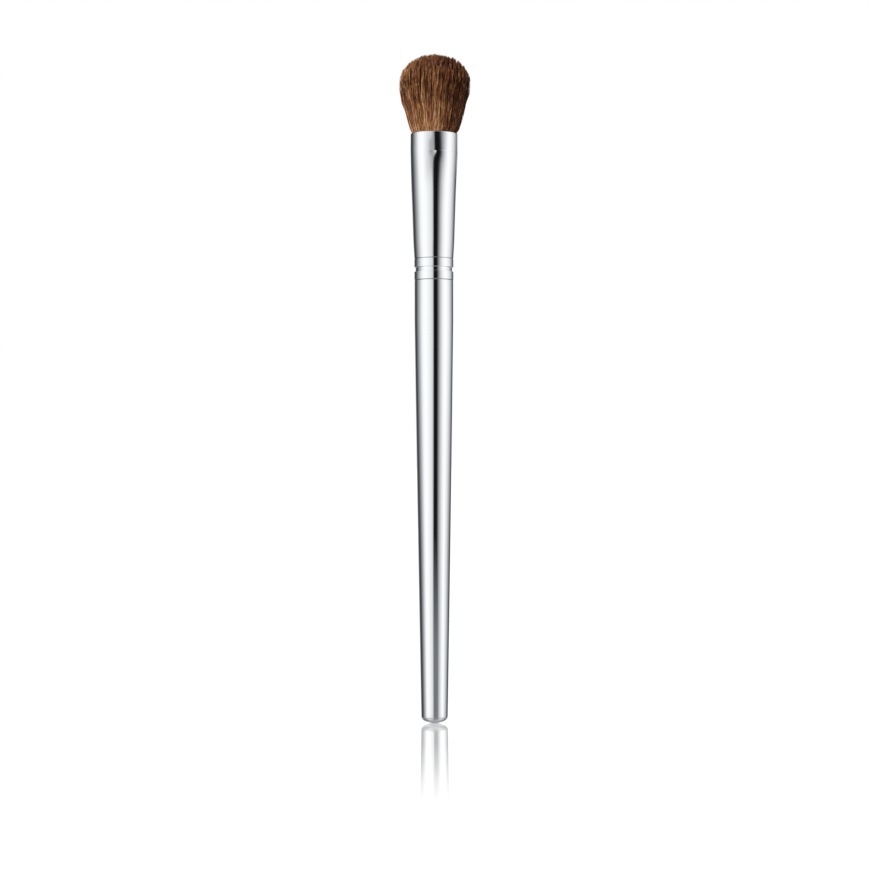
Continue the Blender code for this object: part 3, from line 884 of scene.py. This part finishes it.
rings = [(LAND_RADIUS, LAND_RADIUS, 0.0)]
for out, rise in corner(RIM_RADIUS, 10, BUTT_SLOPE - 90, 0):
    radius = BUTT_RADIUS - RIM_RADIUS + out
    rings.append((radius, radius, RIM_HEIGHT + rise))
rings += [handle_ring(z) for z in up(RIM_HEIGHT, TAPER_TOP, 30)]
rings += [handle_ring(z) for z in up(TAPER_TOP, HANDLE_END - HANDLE_EDGE - 0.3 * MM, 4)]
rings += [handle_ring(HANDLE_END - HANDLE_EDGE - z) for z in (0.06 * MM, 0)]
for out, rise in corner(HANDLE_EDGE, 5, 0, 90)[1:]:
    rings.append(handle_ring(HANDLE_END - HANDLE_EDGE + rise, HANDLE_EDGE - out))
rings.append(handle_ring(HANDLE_END, HANDLE_WALL - 0.06 * MM))
rings.append(handle_ring(HANDLE_END - 0.06 * MM, HANDLE_WALL))
rings += [handle_ring(z, HANDLE_WALL) for z in up(HANDLE_END - 0.06 * MM, RIM_HEIGHT + 1.2 * MM, 12)]
handle = draw_closed_tube("handle_tube", HANDLE_SIDES, rings)
end_tube(handle, smooth_angle=50)
above_end = mesh_points(handle)[:, 2] - HANDLE_END
# Painted shade, with a rougher finish, along the handle's top edge at the seam
set_painted_shade(handle, HANDLE_SEAM_SHADE * smooth_share((above_end + SHADE_REACH) / SHADE_FADE))
handle.data.materials.append(polished_aluminium("drawn_polished_aluminium", 0.05 * MM, 4 * MM))
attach(handle, "root")
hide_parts("handle_shell")

# Joint peg
# A nylon moulding, cored out from below. Its ribs grip the handle's bore, and the ferrule is rolled
# into its groove.
# Moulded nylon: milky off-white with a satin skin, a little uneven from the mould.
nylon, tree = new_material("moulded_natural_nylon")
where = add_node(tree, "ShaderNodeTexCoord")
milk = add_node(
    tree,
    "ShaderNodeTexNoise",
    values={"Scale": 1 / (1.5 * MM), "Detail": 2.0},
    links={"Vector": where.outputs["Object"]},
)
skin = add_node(
    tree,
    "ShaderNodeTexNoise",
    values={"Scale": 1 / (0.08 * MM), "Detail": 3.0},
    links={"Vector": where.outputs["Object"]},
)
nylon_colour = add_node(tree, "ShaderNodeValToRGB", links={"Fac": milk.outputs["Fac"]})
set_stops(nylon_colour, [(0.3, colour("#d2cfc6")), (0.7, colour("#e3e1da"))])
nylon_relief = add_node(
    tree,
    "ShaderNodeBump",
    values={"Strength": 0.3, "Distance": 0.01 * MM},
    links={"Height": skin.outputs["Fac"]},
)
nylon_shader = add_node(
    tree,
    "ShaderNodeBsdfPrincipled",
    values={"Roughness": 0.42, "IOR": 1.53, "Subsurface Weight": 0.15, "Subsurface Scale": 1 * MM},
    links={"Base Color": nylon_colour.outputs["Color"], "Normal": nylon_relief.outputs["Normal"]},
)
finish_material(tree, nylon_shader)
finish_node("joint_plug", nylon)

# Joint glue
# One drop of clear two-part glue sets on the end of the peg and holds it in the ferrule.
finish_node("joint_adhesive", cast_clear("set_clear_glue", "#d8cda4", "#b8a878", 0.5 * MM, 0.6))

# Room
# A white table and backdrop, lit by two tall soft boxes at the sides, with dark gaps between them at
# the camera and on each side at the back.
bpy.ops.mesh.primitive_plane_add(size=6, location=(0, 0, 0))
floor = bpy.context.object
floor.name = "white_table"
floor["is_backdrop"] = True
floor.visible_glossy = False
table, tree = new_material("white_acrylic_table")
where = add_node(tree, "ShaderNodeTexCoord")
# The mirror image fades out over the first 10 cm from the butt
away = add_node(tree, "ShaderNodeVectorMath", links={0: where.outputs["Object"]}, operation="LENGTH")
fade = add_node(
    tree,
    "ShaderNodeMapRange",
    values={"From Min": 0, "From Max": 0.1, "To Min": 0, "To Max": 1},
    links={"Value": away.outputs["Value"]},
)
strength = add_node(tree, "ShaderNodeValToRGB", links={"Fac": fade.outputs["Result"]})
MIRROR = [(0, 0.6), (0.255, 0.6), (0.5, 0.43), (0.68, 0.23), (0.85, 0.09), (1, 0)]
set_stops(strength, [(place, (share, share, share, 1)) for place, share in MIRROR])
white = add_node(tree, "ShaderNodeEmission", values={"Color": (1, 1, 1, 1), "Strength": 0.93})
lit = add_node(tree, "ShaderNodeBsdfDiffuse", values={"Color": (0.25, 0.25, 0.25, 1)})
paper = add_node(tree, "ShaderNodeAddShader", links={0: white.outputs[0], 1: lit.outputs[0]})
bounce = add_node(tree, "ShaderNodeBsdfDiffuse", values={"Color": (0.8, 0.8, 0.8, 1)})
path = add_node(tree, "ShaderNodeLightPath")
ground = add_node(
    tree,
    "ShaderNodeMixShader",
    links={"Fac": path.outputs["Is Camera Ray"], 1: bounce.outputs[0], 2: paper.outputs[0]},
)
mirror = add_node(tree, "ShaderNodeBsdfGlossy", values={"Roughness": 0.0, "Color": (1, 1, 1, 1)})
mirror_share = add_node(
    tree,
    "ShaderNodeMath",
    links={0: strength.outputs["Color"], 1: path.outputs["Is Camera Ray"]},
    operation="MULTIPLY",
)
surface = add_node(
    tree,
    "ShaderNodeMixShader",
    links={"Fac": mirror_share.outputs[0], 1: ground.outputs[0], 2: mirror.outputs[0]},
)
finish_material(tree, surface)
floor.data.materials.append(table)

world = bpy.data.worlds.new("white_studio")
bpy.context.scene.world = world
world.use_nodes = True
tree = world.node_tree
tree.nodes.clear()
# What a mirror sees: (azimuth in degrees right of the camera, the same low down, level)
STUDIO = [
    (-180, -180, 0.9), (-166, -161, 0.75), (-156, -149, 0.25), (-144, -137, 0.05), (-125.5, -115, 0.07),
    (-111.5, -102, 0.25), (-101.5, -92.5, 0.41), (-93, -85.5, 0.56), (-85, -78, 0.75), (-78, -71.5, 0.92),
    (-69, -65.5, 1.04), (-56, -56, 1.1), (-42, -46, 1.07), (-30, -33.5, 0.97), (-17, -21, 0.86),
    (-7, -11.5, 0.71), (0.5, -3.2, 0.007), (16, 16, 0.007), (22, 21, 0.06), (30.5, 29.3, 0.33),
    (42.5, 43.5, 0.7), (56, 60, 1.0), (68, 69, 1.1), (79, 75, 1.09), (92, 81.5, 0.96), (105, 94, 0.8),
    (119, 107, 0.55), (132, 122.5, 0.28), (145, 136, 0.08), (158, 151, 0.08), (168, 163, 0.4),
    (176, 173, 0.9),
]


def cool_white(level):
    """The soft boxes are white, and what falls off round them is slightly blue."""
    off = 1 - min(1, level)
    return (level * (1 - 0.05 * off), level, level * (1 + 0.08 * off), 1)


where = add_node(tree, "ShaderNodeTexCoord")
axes = add_node(tree, "ShaderNodeSeparateXYZ", links={0: where.outputs["Generated"]})
toward = add_node(
    tree,
    "ShaderNodeMath",
    values={1: -1},
    links={0: axes.outputs["Y"]},
    operation="MULTIPLY",
)
turn = add_node(
    tree,
    "ShaderNodeMath",
    links={0: axes.outputs["X"], 1: toward.outputs[0]},
    operation="ARCTAN2",
)
position = add_node(
    tree,
    "ShaderNodeMapRange",
    values={"From Min": -math.pi, "From Max": math.pi, "To Min": 0, "To Max": 1},
    links={"Value": turn.outputs[0]},
)
boxes = add_node(tree, "ShaderNodeValToRGB", links={"Fac": position.outputs["Result"]})
set_stops(boxes, [((azimuth + 180) / 360, cool_white(level)) for azimuth, _, level in STUDIO])
low_boxes = add_node(tree, "ShaderNodeValToRGB", links={"Fac": position.outputs["Result"]})
set_stops(low_boxes, [((low + 180) / 360, cool_white(level)) for _, low, level in STUDIO])
low_share = add_node(
    tree,
    "ShaderNodeMapRange",
    values={"From Min": 0.035, "From Max": -0.09, "To Min": 0, "To Max": 1},
    links={"Value": axes.outputs["Z"]},
)
studio = add_node(
    tree,
    "ShaderNodeMix",
    links={0: low_share.outputs["Result"], 6: boxes.outputs["Color"], 7: low_boxes.outputs["Color"]},
    data_type="RGBA",
)
path = add_node(tree, "ShaderNodeLightPath")
# Low down, the mirror sees the table's edge in the gap, and a mirror image sees the whole gap paler
low_fill = add_node(
    tree,
    "ShaderNodeMapRange",
    values={"From Min": -0.09, "From Max": -0.16, "To Min": 0.0, "To Max": 0.2},
    links={"Value": axes.outputs["Z"]},
)
near_gap = add_node(
    tree,
    "ShaderNodeMapRange",
    values={"From Min": 0.3, "From Max": 0.7, "To Min": 0.0, "To Max": 1.0},
    links={"Value": toward.outputs[0]},
)
low_fill = add_node(
    tree,
    "ShaderNodeMath",
    links={0: low_fill.outputs["Result"], 1: near_gap.outputs["Result"]},
    operation="MULTIPLY",
)
again = add_node(
    tree,
    "ShaderNodeMath",
    values={1: 2.5},
    links={0: path.outputs["Ray Depth"]},
    operation="GREATER_THAN",
)
again_fill = add_node(
    tree,
    "ShaderNodeMath",
    values={1: 0.1},
    links={0: again.outputs[0]},
    operation="MULTIPLY",
)
fill = add_node(
    tree,
    "ShaderNodeMath",
    links={0: low_fill.outputs[0], 1: again_fill.outputs[0]},
    operation="MAXIMUM",
)
fill_colour = add_node(
    tree,
    "ShaderNodeMix",
    values={6: (0, 0, 0, 1), 7: (0.95, 1, 1.06, 1)},
    links={0: fill.outputs[0]},
    data_type="RGBA",
)
seen = add_node(
    tree,
    "ShaderNodeMix",
    values={0: 1},
    links={6: studio.outputs[2], 7: fill_colour.outputs[2]},
    data_type="RGBA",
    blend_type="LIGHTEN",
).outputs[2]


def shift(colour_from, factor_from, level):
    """Mixes a plain level of the studio's light into a colour."""
    made = add_node(
        tree,
        "ShaderNodeMix",
        values={7: cool_white(level)},
        links={0: factor_from, 6: colour_from},
        data_type="RGBA",
    )
    return made.outputs[2]


under = add_node(
    tree,
    "ShaderNodeMapRange",
    values={"From Min": -0.22, "From Max": -0.42, "To Min": 0, "To Max": 1},
    links={"Value": axes.outputs["Z"]},
)
# Seen from well above, the metal mirrors the table, where the soft boxes at the sides still show faintly
table_shine = add_node(
    tree,
    "ShaderNodeMapRange",
    values={"From Min": -0.38, "From Max": -0.48, "To Min": 0, "To Max": -0.5},
    links={"Value": axes.outputs["Z"]},
)
aside = add_node(tree, "ShaderNodeMath", links={0: axes.outputs["X"]}, operation="ABSOLUTE")
beside = add_node(
    tree,
    "ShaderNodeMapRange",
    values={"From Min": 0.08, "From Max": 0.22, "To Min": 0, "To Max": 1},
    links={"Value": aside.outputs[0]},
)
plain_table = add_node(
    tree,
    "ShaderNodeMath",
    values={2: 1.0},
    links={0: table_shine.outputs["Result"], 1: beside.outputs["Result"]},
    operation="MULTIPLY_ADD",
)
under_share = add_node(
    tree,
    "ShaderNodeMath",
    links={0: under.outputs["Result"], 1: plain_table.outputs[0]},
    operation="MULTIPLY",
)
seen = shift(seen, under_share.outputs[0], 0.3)
straight_down = add_node(
    tree,
    "ShaderNodeMapRange",
    values={"From Min": -0.8, "From Max": -0.95, "To Min": 0, "To Max": 1},
    links={"Value": axes.outputs["Z"]},
)
seen = shift(seen, straight_down.outputs["Result"], 0.42)
over = add_node(
    tree,
    "ShaderNodeMapRange",
    values={"From Min": 0.62, "From Max": 0.85, "To Min": 0, "To Max": 1},
    links={"Value": axes.outputs["Z"]},
)
seen = shift(seen, over.outputs["Result"], 0.6)
ambient = add_node(
    tree,
    "ShaderNodeMapRange",
    values={"From Min": -1, "From Max": 1, "To Min": 0.55, "To Max": 0.06},
    links={"Value": axes.outputs["X"]},
)
# Matt surfaces are lit from the left, mirrors see the studio, and the camera sees plain white
level = add_node(
    tree,
    "ShaderNodeMix",
    links={0: path.outputs["Is Glossy Ray"], 6: ambient.outputs["Result"], 7: seen},
    data_type="RGBA",
)
plain = add_node(
    tree,
    "ShaderNodeMath",
    links={0: path.outputs["Is Camera Ray"], 1: path.outputs["Is Singular Ray"]},
    operation="MAXIMUM",
)
plain = add_node(
    tree,
    "ShaderNodeMath",
    links={0: plain.outputs[0], 1: path.outputs["Is Transmission Ray"]},
    operation="MAXIMUM",
)
level = shift(level.outputs[2], plain.outputs[0], 1.0)
light = add_node(tree, "ShaderNodeBackground", links={"Color": level})
add_node(tree, "ShaderNodeOutputWorld", links={"Surface": light.outputs[0]})

# The left soft box also lights the hair and throws its soft shadows
lamp = bpy.data.lights.new("left_soft_box", "SUN")
lamp.energy = 2.7
lamp.angle = math.radians(35)
lamp_object = bpy.data.objects.new("left_soft_box", lamp)
lamp_object.rotation_euler = (math.radians(68), 0, math.radians(-42))
lamp_object.visible_glossy = False
bpy.context.scene.collection.objects.link(lamp_object)

# The camera is level, a little below the middle of the brush, and turned by a trace
camera = bpy.data.cameras.new("camera")
camera.lens = 68.69
camera.sensor_width = 36
camera_object = bpy.data.objects.new("camera", camera)
camera_object.location = (0.00022, -0.3974, 0.0689)
camera_object.rotation_euler = (math.radians(90), math.radians(0.09), 0)
bpy.context.scene.collection.objects.link(camera_object)
bpy.context.scene.camera = camera_object
bpy.context.scene.view_settings.view_transform = "Standard"

seen_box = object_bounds()
boxes = {"cad": [list(c) for c in cad_box], "visual": [list(c) for c in seen_box]}
